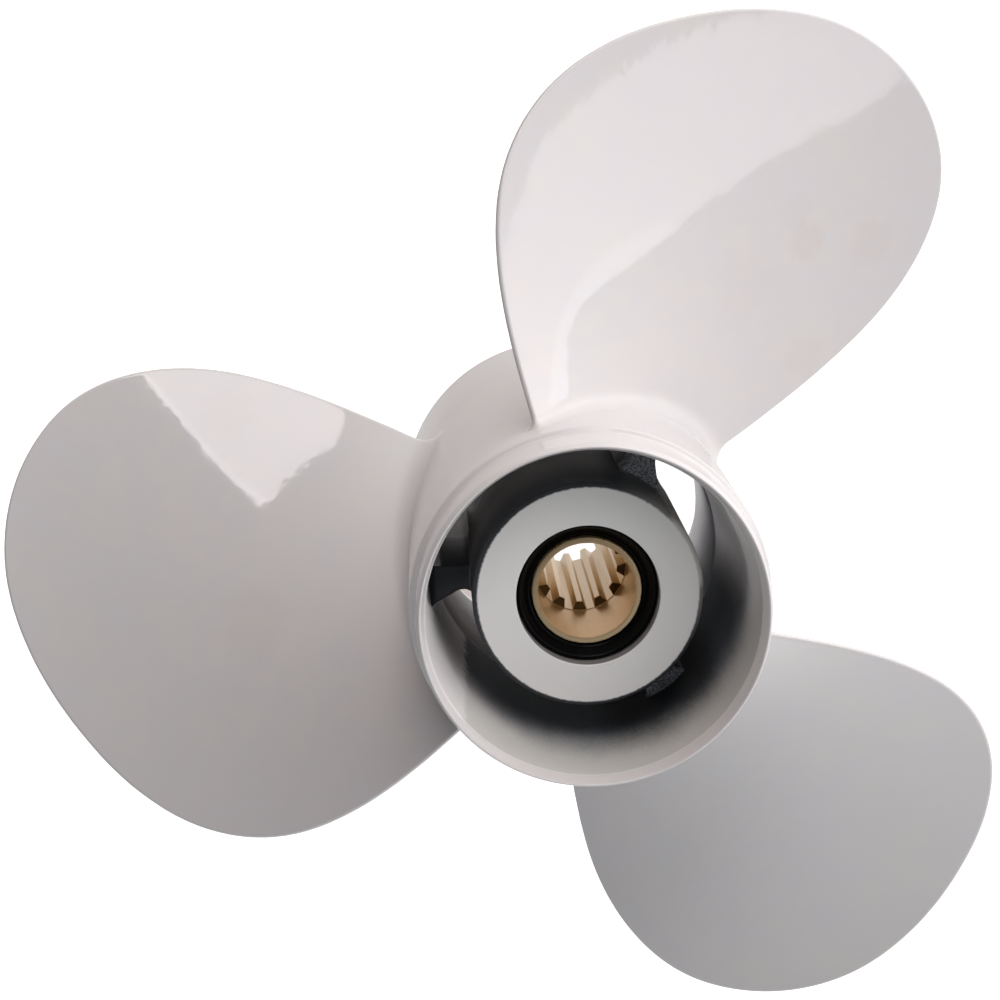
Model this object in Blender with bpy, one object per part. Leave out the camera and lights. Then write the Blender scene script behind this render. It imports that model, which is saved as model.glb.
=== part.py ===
"""Three-bladed cast propeller with a through-hub exhaust barrel.

The propeller stands on the fore rim of its barrel. +Z is the shaft axis and points aft, the
origin is the centre of the fore rim, and every size is in metres.
"""

import math

import bmesh
import bpy
import numpy as np

MM = 0.001

# Room left between pieces that touch in the real object.
SEAT_GAP = 0.3 * MM
ROUND_STEPS = 72

# Barrel: radii and heights of its outer and inner outlines, fore rim at height 0.
BARREL_LENGTH = 125.7 * MM
FORE_RIM_RADIUS = 42.8 * MM
BODY_RADIUS = 41.7 * MM
BODY_START = 34.0 * MM
NOSE_START = 114.0 * MM
NOSE_RADIUS = 40.2 * MM
LIP_RADIUS = 39.4 * MM
LIP_CHAMFER_RADIUS = 38.2 * MM
LIP_CHAMFER_DEPTH = 4.2 * MM
WALL_RADIUS_AFT = 37.7 * MM
WALL_RADIUS_SEAM = 36.1 * MM
WALL_RADIUS_FORE = 37.2 * MM
SEAM_HEIGHT = 61.3 * MM
FORE_RECESS_RADIUS = 39.8 * MM
FORE_RECESS_DEPTH = 14.4 * MM
EDGE_BREAK = 0.5 * MM

# Inner hub: a thick tube with a machined aft face and a tapered fore mouth.
HUB_RADIUS = 27.0 * MM
HUB_BORE_RADIUS = 16.8 * MM
HUB_AFT_HEIGHT = 106.6 * MM
HUB_FORE_HEIGHT = 25.0 * MM
HUB_CORNER_RADIUS = 1.4 * MM
HUB_MOUTH_RADIUS = 20.5 * MM
HUB_MOUTH_DEPTH = 8.0 * MM

# Ribs between the inner hub and the barrel, one behind the middle of each blade.
RIB_AFT_HEIGHT = 88.5 * MM
RIB_FORE_HEIGHT = 30.0 * MM
RIB_HALF_WIDTH = 2.9 * MM
RIB_FILLET = 2.4 * MM
RIB_ANGLES = (62.6, 181.6, 302.0)

# Rubber bush with a raised outer rim at its aft end.
BUSH_FORE_HEIGHT = 35.5 * MM
BUSH_FACE_HEIGHT = 101.0 * MM
BUSH_RIM_HEIGHT = 104.0 * MM
BUSH_RIM_WIDTH = 1.3 * MM

# Splined sleeve.
SLEEVE_RADIUS = 12.9 * MM
SLEEVE_AFT_HEIGHT = 102.3 * MM
SLEEVE_FORE_HEIGHT = 34.0 * MM
COUNTERBORE_RADIUS = 11.45 * MM
COUNTERBORE_FLOOR = 80.0 * MM
SPLINE_ROOT_RADIUS = 11.2 * MM
SPLINE_TIP_RADIUS = 9.2 * MM
SPLINE_TEETH = 13
TOOTH_ROOT_SHARE = 0.62
TOOTH_TIP_SHARE = 0.32
SPLINE_ANGLE = -5.3

# Blades.
BLADE_COUNT = 3
TIP_RADIUS = 144.5 * MM
ROOT_RADIUS = BODY_RADIUS + SEAT_GAP
PITCH_AT_ROOT = 293.0 * MM
PITCH_AT_TIP = 276.0 * MM
DATUM_ANGLE = 70.0
DATUM_HEIGHT = 77.3 * MM
TIP_DROP = 15.2 * MM
DROP_POWER = 1.45
ROOT_THICKNESS = 10.0 * MM
TIP_THICKNESS = 2.8 * MM
EDGE_THICKNESS = 1.4 * MM
LEADING_EDGE_INSET = 0.15 * EDGE_THICKNESS
TRAILING_EDGE_INSET = 0.65 * EDGE_THICKNESS
LEADING_FILLET = 5.5 * MM
TRAILING_FILLET = 2.5 * MM
FILLET_HEIGHTS = (0.0, 0.08, 0.25, 0.55, 1.0)
CHORD_POINTS = 15
CAP_ROWS = 3
SPAN_STATIONS = 19

# Edge of the first blade's face, from the root of the leading edge over the tip to the root of
# the trailing edge: radius in mm and angle round the axis in degrees.
BLADE_OUTLINE = (
    (41.7, 29.0),
    (59.0, 31.0),
    (78.0, 33.0),
    (98.0, 35.6),
    (117.0, 39.7),
    (133.0, 45.8),
    (140.8, 52.1),
    (144.5, 61.2),
    (140.8, 70.8),
    (133.0, 80.2),
    (125.0, 88.1),
    (117.0, 94.0),
    (98.0, 102.2),
    (78.0, 106.1),
    (59.0, 107.7),
    (41.7, 108.1),
)

# Colours are linear RGB.
FINISHES = {
    "white_paint": ((0.72, 0.70, 0.69), 0.25, 0.0),
    "primed_casting": ((0.10, 0.10, 0.11), 0.55, 0.0),
    "black_rubber": ((0.012, 0.012, 0.013), 0.45, 0.0),
    "brass": ((0.62, 0.45, 0.24), 0.35, 1.0),
}


def clear_scene():
    """Remove the objects of the open scene."""
    for scene_object in list(bpy.data.objects):
        bpy.data.objects.remove(scene_object, do_unlink=True)


def finish(name):
    """Return the material of that name, made on its first use."""
    material = bpy.data.materials.get(name)
    if material is None:
        color, roughness, metallic = FINISHES[name]
        material = bpy.data.materials.new(name)
        material.use_nodes = True
        shader = material.node_tree.nodes["Principled BSDF"]
        shader.inputs["Base Color"].default_value = (*color, 1.0)
        shader.inputs["Roughness"].default_value = roughness
        shader.inputs["Metallic"].default_value = metallic
    return material


def add_object(name, mesh_builder, finish_name, turn_degrees=0.0):
    """Close a bmesh into a named object, smooth where it is round, turned about the axis."""
    bmesh.ops.recalc_face_normals(mesh_builder, faces=mesh_builder.faces)
    mesh = bpy.data.meshes.new(name)
    mesh_builder.to_mesh(mesh)
    mesh_builder.free()
    mesh.shade_smooth()
    mesh.set_sharp_from_angle(angle=math.radians(35))
    mesh.materials.append(finish(finish_name))
    piece = bpy.data.objects.new(name, mesh)
    piece.rotation_euler.z = math.radians(turn_degrees)
    bpy.context.collection.objects.link(piece)
    return piece


def turned(profile):
    """Spin a closed outline of (radius, height) points once round the axis."""
    builder = bmesh.new()
    corners = [builder.verts.new((radius, 0.0, height)) for radius, height in profile]
    edges = [
        builder.edges.new((corner, corners[(index + 1) % len(corners)]))
        for index, corner in enumerate(corners)
    ]
    bmesh.ops.spin(
        builder,
        geom=corners + edges,
        cent=(0, 0, 0),
        axis=(0, 0, 1),
        angle=math.tau,
        steps=ROUND_STEPS,
        use_merge=True,
    )
    bmesh.ops.remove_doubles(builder, verts=builder.verts, dist=0.01 * MM)
    return builder


def add_rings(builder, rings):
    """Add rings of points, all of one length, and join each to the next with faces."""
    rows = [[builder.verts.new(point) for point in ring] for ring in rings]
    for lower, upper in zip(rows, rows[1:]):
        join_rows(builder, lower, upper)
    return rows


def join_rows(builder, lower, upper):
    """Join two closed rows of points with four-sided faces."""
    count = len(lower)
    for index in range(count):
        after = (index + 1) % count
        builder.faces.new((lower[index], lower[after], upper[after], upper[index]))


def wall_radius(height):
    """Inner radius of the barrel, which narrows from both ends to the seam of its cores."""
    heights = (FORE_RECESS_DEPTH, SEAM_HEIGHT, BARREL_LENGTH - LIP_CHAMFER_DEPTH)
    radii = (WALL_RADIUS_FORE, WALL_RADIUS_SEAM, WALL_RADIUS_AFT)
    return float(np.interp(height, heights, radii))


def make_barrel():
    """Outer barrel: fore collar, straight body, tapered nose and rounded aft lip."""
    profile = (
        (FORE_RECESS_RADIUS, 0.0),
        (FORE_RIM_RADIUS - EDGE_BREAK, 0.0),
        (FORE_RIM_RADIUS, EDGE_BREAK),
        (BODY_RADIUS, BODY_START),
        (BODY_RADIUS, NOSE_START),
        (NOSE_RADIUS, BARREL_LENGTH - 1.6 * MM),
        (LIP_RADIUS, BARREL_LENGTH),
        (LIP_RADIUS - EDGE_BREAK, BARREL_LENGTH - 0.3 * MM),
        (LIP_CHAMFER_RADIUS, BARREL_LENGTH - LIP_CHAMFER_DEPTH),
        (WALL_RADIUS_AFT, BARREL_LENGTH - LIP_CHAMFER_DEPTH - EDGE_BREAK),
        (WALL_RADIUS_SEAM, SEAM_HEIGHT),
        (WALL_RADIUS_FORE, FORE_RECESS_DEPTH),
        (FORE_RECESS_RADIUS, FORE_RECESS_DEPTH),
    )
    return add_object("outer_barrel", turned(profile), "white_paint")


def make_inner_hub():
    """Inner hub: the thick tube that holds the bush."""
    corner = HUB_CORNER_RADIUS
    profile = (
        (HUB_MOUTH_RADIUS, HUB_FORE_HEIGHT),
        (HUB_RADIUS - corner, HUB_FORE_HEIGHT),
        (HUB_RADIUS, HUB_FORE_HEIGHT + corner),
        (HUB_RADIUS, HUB_AFT_HEIGHT - corner),
        (HUB_RADIUS - 0.3 * corner, HUB_AFT_HEIGHT - 0.3 * corner),
        (HUB_RADIUS - corner, HUB_AFT_HEIGHT),
        (HUB_BORE_RADIUS, HUB_AFT_HEIGHT),
        (HUB_BORE_RADIUS, HUB_FORE_HEIGHT + HUB_MOUTH_DEPTH),
    )
    return add_object("inner_hub", turned(profile), "primed_casting")


def rib_outline(height):
    """Plan of a rib at one height: narrow in the middle, spreading in fillets at both ends."""
    inner = HUB_RADIUS + SEAT_GAP
    outer = wall_radius(height) - SEAT_GAP
    spread = ((0.0, RIB_FILLET), (0.22, 0.42 * RIB_FILLET), (1.0, 0.0))
    flank = [(inner + rise * RIB_FILLET, RIB_HALF_WIDTH + extra) for rise, extra in spread]
    flank += [
        (outer - rise * RIB_FILLET, RIB_HALF_WIDTH + extra) for rise, extra in reversed(spread)
    ]
    angles = [(radius, math.asin(half_width / radius)) for radius, half_width in flank]
    outer_end = [(outer, share * angles[-1][1]) for share in (0.5, 0.0, -0.5)]
    inner_end = [(inner, share * angles[0][1]) for share in (-0.5, 0.0, 0.5)]
    far_flank = [(radius, -angle) for radius, angle in reversed(angles)]
    polar = angles + outer_end + far_flank + inner_end
    return [(radius * math.cos(angle), radius * math.sin(angle), height) for radius, angle in polar]


def make_ribs():
    """One rib behind each blade, following the taper of the barrel's wall."""
    for index, turn in enumerate(RIB_ANGLES):
        builder = bmesh.new()
        heights = (RIB_FORE_HEIGHT, SEAM_HEIGHT, RIB_AFT_HEIGHT)
        rows = add_rings(builder, [rib_outline(height) for height in heights])
        builder.faces.new(rows[0])
        builder.faces.new(rows[-1])
        add_object(f"rib_{index + 1}", builder, "primed_casting", turn)


def make_bush():
    """Rubber bush between the inner hub and the sleeve."""
    inner = SLEEVE_RADIUS + SEAT_GAP
    outer = HUB_BORE_RADIUS - SEAT_GAP
    profile = (
        (inner, BUSH_FORE_HEIGHT),
        (outer, BUSH_FORE_HEIGHT),
        (outer, BUSH_RIM_HEIGHT),
        (outer - BUSH_RIM_WIDTH, BUSH_RIM_HEIGHT),
        (outer - 1.6 * BUSH_RIM_WIDTH, BUSH_FACE_HEIGHT),
        (inner, BUSH_FACE_HEIGHT),
    )
    return add_object("rubber_bush", turned(profile), "black_rubber")


def spline_ring(root_radius, tip_radius, height):
    """Inner outline with straight-sided teeth, four corners to a tooth."""
    ring = []
    step = math.tau / SPLINE_TEETH
    for tooth in range(SPLINE_TEETH):
        corners = (
            (root_radius, -0.5 * TOOTH_ROOT_SHARE),
            (tip_radius, -0.5 * TOOTH_TIP_SHARE),
            (tip_radius, 0.5 * TOOTH_TIP_SHARE),
            (root_radius, 0.5 * TOOTH_ROOT_SHARE),
        )
        for radius, share in corners:
            angle = (tooth + share) * step
            ring.append((radius * math.cos(angle), radius * math.sin(angle), height))
    return ring


def make_sleeve():
    """Brass sleeve: plain counterbore at its aft end, splines from there to its fore end."""
    builder = bmesh.new()
    rings = (
        spline_ring(SLEEVE_RADIUS, SLEEVE_RADIUS, SLEEVE_FORE_HEIGHT),
        spline_ring(SLEEVE_RADIUS, SLEEVE_RADIUS, SLEEVE_AFT_HEIGHT),
        spline_ring(COUNTERBORE_RADIUS, COUNTERBORE_RADIUS, SLEEVE_AFT_HEIGHT),
        spline_ring(COUNTERBORE_RADIUS, COUNTERBORE_RADIUS, COUNTERBORE_FLOOR),
        spline_ring(SPLINE_ROOT_RADIUS, SPLINE_TIP_RADIUS, COUNTERBORE_FLOOR),
        spline_ring(SPLINE_ROOT_RADIUS, SPLINE_TIP_RADIUS, SLEEVE_FORE_HEIGHT),
    )
    rows = add_rings(builder, rings)
    join_rows(builder, rows[-1], rows[0])
    return add_object("splined_sleeve", builder, "brass", SPLINE_ANGLE)


def smooth_curve(knots, values, at):
    """Read a smooth curve through the knots, with the slope at each taken from its neighbours."""
    knots = np.asarray(knots, float)
    values = np.asarray(values, float)
    slopes = np.gradient(values, knots)
    index = np.clip(np.searchsorted(knots, at) - 1, 0, len(knots) - 2)
    width = knots[index + 1] - knots[index]
    t = (np.asarray(at) - knots[index]) / width
    return (
        (1 + 2 * t) * (1 - t) ** 2 * values[index]
        + t * (1 - t) ** 2 * width * slopes[index]
        + t * t * (3 - 2 * t) * values[index + 1]
        + t * t * (t - 1) * width * slopes[index + 1]
    )


def outline_curve():
    """Place the outline's points by the root of their distance from the tip radius.

    Along that measure the edge runs smoothly through the tip: negative on the leading side,
    zero at the tip and positive on the trailing side.
    """
    tip_index = max(range(len(BLADE_OUTLINE)), key=lambda index: BLADE_OUTLINE[index][0])
    places = []
    for index, (radius, _) in enumerate(BLADE_OUTLINE):
        place = math.sqrt(1 - radius * MM / TIP_RADIUS)
        places.append(-place if index < tip_index else place)
    return places, [angle for _, angle in BLADE_OUTLINE]


def edge_angles(radius):
    """Angles of the leading and the trailing edge at a radius, in radians."""
    places, angles = outline_curve()
    place = min(math.sqrt(1 - radius / TIP_RADIUS), places[-1])
    lead, trail = smooth_curve(places, angles, np.array([-place, place]))
    return math.radians(lead), math.radians(trail)


def span_share(radius):
    """0 at the blade's root, 1 at its tip."""
    return min(max((radius - ROOT_RADIUS) / (TIP_RADIUS - ROOT_RADIUS), 0.0), 1.0)


def face_height(radius, angle):
    """Height of the blade's aft face, a helical surface that droops towards the tip."""
    share = span_share(radius)
    pitch = PITCH_AT_ROOT + share * (PITCH_AT_TIP - PITCH_AT_ROOT)
    droop = TIP_DROP * (1 - (1 - share) ** DROP_POWER)
    return DATUM_HEIGHT - droop + pitch * (angle - math.radians(DATUM_ANGLE)) / math.tau


def thickness(radius, chord_share):
    """Blade thickness: a circular-arc back on a flat face, with blunt edges."""
    share = span_share(radius)
    middle = ROOT_THICKNESS + share * (TIP_THICKNESS - ROOT_THICKNESS)
    return EDGE_THICKNESS + (middle - EDGE_THICKNESS) * 4 * chord_share * (1 - chord_share)


def grow(points, distances):
    """Push the points of a closed flat outline outwards, each by its own distance."""
    tangents = np.roll(points, -1, axis=0) - np.roll(points, 1, axis=0)
    tangents /= np.linalg.norm(tangents, axis=1)[:, None]
    normals = np.column_stack((-tangents[:, 1], tangents[:, 0]))
    return points + normals * np.asarray(distances)[:, None]


def blade_section(radius):
    """One section of the blade, unrolled: (distance round the axis, height) points.

    The first CHORD_POINTS run along the face from the leading to the trailing edge, then come
    the trailing edge's nose, the back, and the leading edge's nose.
    """
    lead, trail = edge_angles(radius)
    lead += LEADING_EDGE_INSET / radius
    trail -= TRAILING_EDGE_INSET / radius
    shares = 0.5 - 0.5 * np.cos(np.linspace(0, math.pi, CHORD_POINTS))
    angles = lead + shares * (trail - lead)
    face = np.array([(radius * angle, face_height(radius, angle)) for angle in angles])
    along = (face[-1] - face[0]) / np.linalg.norm(face[-1] - face[0])
    to_back = np.array((along[1], -along[0]))
    back = face + to_back * np.array([thickness(radius, share) for share in shares])[:, None]
    nose = 0.4 * EDGE_THICKNESS * along
    trailing_nose = 0.5 * (face[-1] + back[-1]) + nose
    leading_nose = 0.5 * (face[0] + back[0]) - nose
    outline = np.vstack((face, trailing_nose, back[::-1], leading_nose))
    round_shares = np.concatenate((shares, [1.0], shares[::-1], [0.0]))
    fillets = LEADING_FILLET + round_shares * (TRAILING_FILLET - LEADING_FILLET)
    rise = np.clip((radius - ROOT_RADIUS) / fillets, 0, 1)
    flare = fillets * (1 - np.sqrt(1 - (1 - rise) ** 2))
    return grow(outline, flare)


def roll_up(points, radius):
    """Wrap unrolled points round the cylinder of their radius."""
    angles = points[:, 0] / radius
    return [
        (radius * math.cos(angle), radius * math.sin(angle), height)
        for angle, height in zip(angles, points[:, 1])
    ]


def close_end(builder, row, points, radius):
    """Close an end of the blade with rows of points between its face and its back.

    The rows run from nose to nose, so the cap lies on the cylinder of its radius.
    """
    count = CHORD_POINTS
    face_points, back_points = points[:count], points[count + 1 : 2 * count + 1][::-1]
    rows = [row[:count]]
    for step in range(1, CAP_ROWS + 1):
        share = step / (CAP_ROWS + 1)
        between = (1 - share) * face_points + share * back_points
        rows.append([builder.verts.new(point) for point in roll_up(between, radius)])
    rows.append(row[count + 1 : 2 * count + 1][::-1])
    for first, second in zip(rows, rows[1:]):
        for index in range(count - 1):
            after = index + 1
            builder.faces.new((first[index], first[after], second[after], second[index]))
    for nose, end in ((row[-1], 0), (row[count], count - 1)):
        for first, second in zip(rows, rows[1:]):
            builder.faces.new((first[end], second[end], nose))


def blade_radii():
    """Radii of the blade's sections: close in the root fillet, then even up to the tip."""
    fillet = [ROOT_RADIUS + rise * LEADING_FILLET for rise in FILLET_HEIGHTS]
    first = math.sqrt(1 - fillet[-1] / TIP_RADIUS)
    places = np.linspace(first, 0.03, SPAN_STATIONS)[1:]
    return fillet + [TIP_RADIUS * (1 - place**2) for place in places]


def make_blades():
    """Three like blades, turned evenly round the axis."""
    radii = blade_radii()
    sections = [blade_section(radius) for radius in radii]
    for index in range(BLADE_COUNT):
        builder = bmesh.new()
        rings = [roll_up(section, radius) for section, radius in zip(sections, radii)]
        rows = add_rings(builder, rings)
        close_end(builder, rows[0], sections[0], radii[0])
        close_end(builder, rows[-1], sections[-1], radii[-1])
        add_object(f"blade_{index + 1}", builder, "white_paint", index * 360 / BLADE_COUNT)


def main():
    clear_scene()
    make_barrel()
    make_blades()
    make_inner_hub()
    make_ribs()
    make_bush()
    make_sleeve()


main()
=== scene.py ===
# %% [markdown]
# # A cast boat propeller, dressed for its portrait
#
# The imported model gives plain solids at their true size. This lesson builds the finer pieces
# round them: one painted casting of barrel and blades, the rough inner casting, the rubber bush
# and the brass sleeve. Each step first says what the thing is on the real object.
#
# The first code cell loads the solids. They are in metres, +Z is the shaft and points aft, and
# the propeller stands on its fore rim at height 0.

import math

import bmesh
import bpy
import numpy as np
from mathutils import Matrix, Vector


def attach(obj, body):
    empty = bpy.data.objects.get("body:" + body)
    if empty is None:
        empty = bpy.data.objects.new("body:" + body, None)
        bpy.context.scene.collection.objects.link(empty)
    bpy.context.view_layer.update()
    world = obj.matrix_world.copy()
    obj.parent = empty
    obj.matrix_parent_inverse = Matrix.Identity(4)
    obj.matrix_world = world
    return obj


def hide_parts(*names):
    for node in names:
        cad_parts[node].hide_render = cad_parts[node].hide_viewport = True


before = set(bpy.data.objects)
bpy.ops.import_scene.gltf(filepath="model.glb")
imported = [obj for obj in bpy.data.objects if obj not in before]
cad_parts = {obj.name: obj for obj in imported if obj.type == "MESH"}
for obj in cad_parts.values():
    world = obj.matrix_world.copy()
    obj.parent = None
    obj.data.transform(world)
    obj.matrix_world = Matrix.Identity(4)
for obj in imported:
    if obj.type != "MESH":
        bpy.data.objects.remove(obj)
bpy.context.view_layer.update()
MM = 0.001
print("solids:", ", ".join(sorted(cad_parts)))

# %% [markdown]
# ## Camera
#
# The photograph looks down the shaft from aft, a little from above. A camera can be aimed by
# hand until edges line up, but here its place was worked out from the round rims of the barrel,
# whose sizes are known. So it is simply set: a place, a turn, and the focal length that goes
# with a square picture on a 36 mm sensor. The picture's colours are shown as they are, without
# a film curve, so that white paint stays white.

# %% Camera
CAMERA_PLACE = (-0.04086, 0.13245, 0.56192)
CAMERA_RIGHT = Vector((0.99908, 0.01265, 0.04087))
CAMERA_UP = Vector((-0.00273, 0.97219, -0.23416))
CAMERA_LENS = 73.67
SENSOR_WIDTH = 36.0


def add_camera():
    """Create the camera at the photograph's place and make it the scene's own."""
    data = bpy.data.cameras.new("camera")
    data.sensor_width = SENSOR_WIDTH
    data.lens = CAMERA_LENS
    data.clip_start = 0.01
    data.clip_end = 50.0
    camera = bpy.data.objects.new("camera", data)
    bpy.context.scene.collection.objects.link(camera)
    axes = (CAMERA_RIGHT, CAMERA_UP, CAMERA_RIGHT.cross(CAMERA_UP))
    camera.matrix_world = Matrix(axes).transposed().to_4x4()
    camera.location = CAMERA_PLACE
    bpy.context.scene.camera = camera
    return camera


camera = add_camera()
bpy.context.scene.view_settings.view_transform = "Standard"
print(f"camera {camera.location.length:.3f} m from the fore rim, lens {CAMERA_LENS} mm")

# %% [markdown]
# ## Sums on sockets
#
# A node tree is a sum written with wires. To keep the finishes readable, a small class wraps an
# output socket, and Python's own signs add the Math nodes: `1 - mask` works as it reads. Other
# nodes all come from one method, which takes the node's type, its settings and its sockets.

# %% Wires and finishes
# A Mix node has inputs for numbers, vectors and colours. These are its share and its colours.
MIX_SHARE, MIX_FIRST, MIX_SECOND, MIX_RESULT = 0, 6, 7, 2


class Wire:
    """An output socket that can be used in sums."""

    def __init__(self, graph, socket):
        self.graph = graph
        self.socket = socket

    def math(self, operation, *values):
        return self.graph.math(operation, self, *values)

    def __add__(self, other):
        return self.math("ADD", other)

    def __sub__(self, other):
        return self.math("SUBTRACT", other)

    def __rsub__(self, other):
        return self.graph.math("SUBTRACT", other, self)

    def __mul__(self, other):
        return self.math("MULTIPLY", other)

    def __truediv__(self, other):
        return self.math("DIVIDE", other)

    __radd__ = __add__
    __rmul__ = __mul__

    def rise(self, low, high):
        """0 below low, 1 above high, and a smooth step between."""
        sockets = {"Value": self, "From Min": low, "From Max": high}
        settings = {"interpolation_type": "SMOOTHSTEP"}
        return self.graph.node("ShaderNodeMapRange", settings, sockets)

    def band(self, middle, half_width, fade):
        """1 near the middle value, fading to 0 on both sides."""
        away = (self - middle).math("ABSOLUTE")
        return 1 - away.rise(half_width, half_width + fade)


class Graph:
    """A node tree, and the nodes that are added to it."""

    def __init__(self, tree):
        self.tree = tree

    def node(self, kind, settings=None, sockets=None, output=0):
        """Add any node: its settings first, then its sockets' values or links."""
        made = self.tree.nodes.new(kind)
        for key, value in (settings or {}).items():
            setattr(made, key, value)
        for key, value in (sockets or {}).items():
            self.plug(made.inputs[key], value)
        return Wire(self, made.outputs[output])

    def plug(self, socket, value):
        """Link a wire to a socket, or set the socket's own value."""
        if isinstance(value, Wire):
            self.tree.links.new(value.socket, socket)
        elif isinstance(value, tuple) and socket.type == "RGBA":
            socket.default_value = (*value, 1.0)
        else:
            socket.default_value = value

    def math(self, operation, *values):
        return self.node("ShaderNodeMath", {"operation": operation}, dict(enumerate(values)))

    def vector(self, operation, *values, scale=None, output=0):
        sockets = dict(enumerate(values))
        if scale is not None:
            sockets["Scale"] = scale
        return self.node("ShaderNodeVectorMath", {"operation": operation}, sockets, output)

    def mix(self, share, first, second):
        """Blend two colours by a share from 0 to 1."""
        sockets = {MIX_SHARE: share, MIX_FIRST: first, MIX_SECOND: second}
        return self.node("ShaderNodeMix", {"data_type": "RGBA"}, sockets, MIX_RESULT)


class Finish(Graph):
    """A material whose surface is described in mm."""

    def __init__(self, name):
        self.material = bpy.data.materials.new(name)
        self.material.use_nodes = True
        super().__init__(self.material.node_tree)
        self.shader = self.tree.nodes["Principled BSDF"]
        place = self.node("ShaderNodeTexCoord", output="Object")
        self.place = self.vector("SCALE", place, scale=1 / MM)
        axes = self.node("ShaderNodeSeparateXYZ", None, {"Vector": self.place})
        self.x, self.y, self.z = (Wire(self, output) for output in axes.socket.node.outputs)
        self.radius = (self.x * self.x + self.y * self.y).math("SQRT")

    def noise(self, grain_mm, detail=2.0, roughness=0.5, place=None):
        """Cloudy noise from 0 to 1 whose blotches are about grain_mm across."""
        sockets = {
            "Vector": place or self.place,
            "Scale": 1 / grain_mm,
            "Detail": detail,
            "Roughness": roughness,
        }
        return self.node("ShaderNodeTexNoise", None, sockets)

    def facing(self, degrees):
        """1 on the side of the shaft at an angle, 0 a quarter turn away, -1 opposite."""
        turn = math.radians(degrees)
        return (self.x * math.cos(turn) + self.y * math.sin(turn)) / self.radius

    def near(self, spot, size):
        """1 at a spot in mm, fading to 0 at size mm from it, with a frayed edge."""
        away = self.vector("DISTANCE", self.place, spot, output="Value")
        frayed = away + (self.noise(0.4 * size) - 0.5) * size
        return 1 - frayed.rise(0.4 * size, size)

    def bump(self, height_mm):
        """Turn a height in mm into a bent normal."""
        sockets = {"Height": height_mm * MM, "Distance": 1.0}
        return self.node("ShaderNodeBump", None, sockets)

    def shade(self, **inputs):
        """Set the shader's sockets, named with _ for a space."""
        for key, value in inputs.items():
            self.plug(self.shader.inputs[key.replace("_", " ")], value)
        return self.material


print("wires and finishes are ready")

# %% [markdown]
# ## Studio
#
# The real picture was taken on white between two soft boxes: a tall one to the right of the
# blades and a small one above them. Gloss paint mirrors them, so the shape of each bright patch
# on a blade tells the outline of its box. An area light can only be a rectangle or an ellipse,
# so each box here is a flat glowing sheet with its own corners, given in mm from the middle of
# a plane which faces the propeller.
#
# A box is brighter along one edge than in its middle, so a narrow strip of sheet stands 1 mm
# before each. The rest of the light is the room: a sky made of six soft lobes.
#
# The floor is a plain pale sheet which only the camera sees, because the photograph's white
# ground was far brighter than the dim floor that its paint mirrors. It is darker in one spot,
# the shadow that shows through the propeller's deepest gap.

# %% Floor, soft boxes and sky
SHEET_COLOR = (0.8, 0.8, 0.8)
SHEET_ROUGHNESS = 0.9
FLOOR_SIZE = 12.0
FLOOR_GLOW = (0.9, 0.9, 0.9)
SHADOW_GLOW = (0.24, 0.19, 0.165)
SHADOW_SPOT = (-25.0, -31.0, 0.0)
SHADOW_SIZE = 13.0
AIM_POINT = Vector((0.0, 0.0, 0.08))
BOX_DISTANCE = 0.9

# For each box: azimuth and elevation in degrees of the plane that its sheets lie in.
BOX_PLANES = {"right": (3.0, 30.0), "above": (93.0, 43.0)}

# For each sheet: its box, how far it stands before the plane in mm, its colour, and its corners.
SHEETS = (
    (
        "right",
        0,
        (1.90, 1.82, 1.88),
        (
            (-192, 218),
            (310, 168),
            (400, 40),
            (430, -560),
            (120, -560),
            (172, -300),
            (150, -225),
            (-15, -128),
        ),
    ),
    (
        "right",
        1,
        (2.35, 2.40, 2.50),
        (
            (120, -560),
            (172, -310),
            (143, -222),
            (16, -160),
            (-16, -134),
            (-7, -91),
            (107, -119),
            (147, -141),
            (185, -185),
            (208, -246),
            (223, -357),
            (235, -560),
        ),
    ),
    (
        "above",
        0,
        (4.30, 4.02, 4.06),
        ((267, -49), (125, 216), (-100, 120), (-215, -180), (-190, -250), (-70, -252)),
    ),
    (
        "above",
        1,
        (5.2, 5.0, 5.2),
        ((267, -49), (125, 216), (114, 208), (220, 10), (238, -56)),
    ),
)

# For each lobe of the sky: where it is, how narrow it is, and its colour.
SKY_LOBES = (
    ((1, 0, 0), 1, (0.65, 0.61, 0.59)),
    ((0, -1, 0), 1, (0.45, 0.53, 0.58)),
    ((0, 0, -1), 1, (0.64, 0.60, 0.59)),
    ((0.71, 0.71, 0), 3, (1.15, 1.32, 1.33)),
    ((0, 1, 0), 3, (0.80, 0.75, 0.70)),
    ((0, -1, 0), 3, (0.71, 0.67, 0.62)),
)


def add_stage_sheet(name, points, pale, glow, strength):
    """A flat sheet which isn't part of the object, pale and glowing in a colour."""
    mesh = bpy.data.meshes.new(name)
    mesh.from_pydata(points, [], [range(len(points))])
    sheet = bpy.data.objects.new(name, mesh)
    bpy.context.scene.collection.objects.link(sheet)
    mesh.materials.append(
        pale.shade(
            Base_Color=SHEET_COLOR,
            Roughness=SHEET_ROUGHNESS,
            Emission_Color=glow,
            Emission_Strength=strength,
        )
    )
    return sheet


def add_floor():
    """A pale sheet under the fore rim, seen by the camera and by nothing else."""
    reach = FLOOR_SIZE / 2
    corners = [(-reach, -reach, 0), (reach, -reach, 0), (reach, reach, 0), (-reach, reach, 0)]
    ground = Finish("floor_shade")
    shadow = ground.near(SHADOW_SPOT, SHADOW_SIZE)
    glow = ground.mix(shadow, FLOOR_GLOW, SHADOW_GLOW)
    floor = add_stage_sheet("floor", corners, ground, glow, 1.0)
    floor.visible_diffuse = False
    floor.visible_glossy = False
    floor.visible_shadow = False


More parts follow.
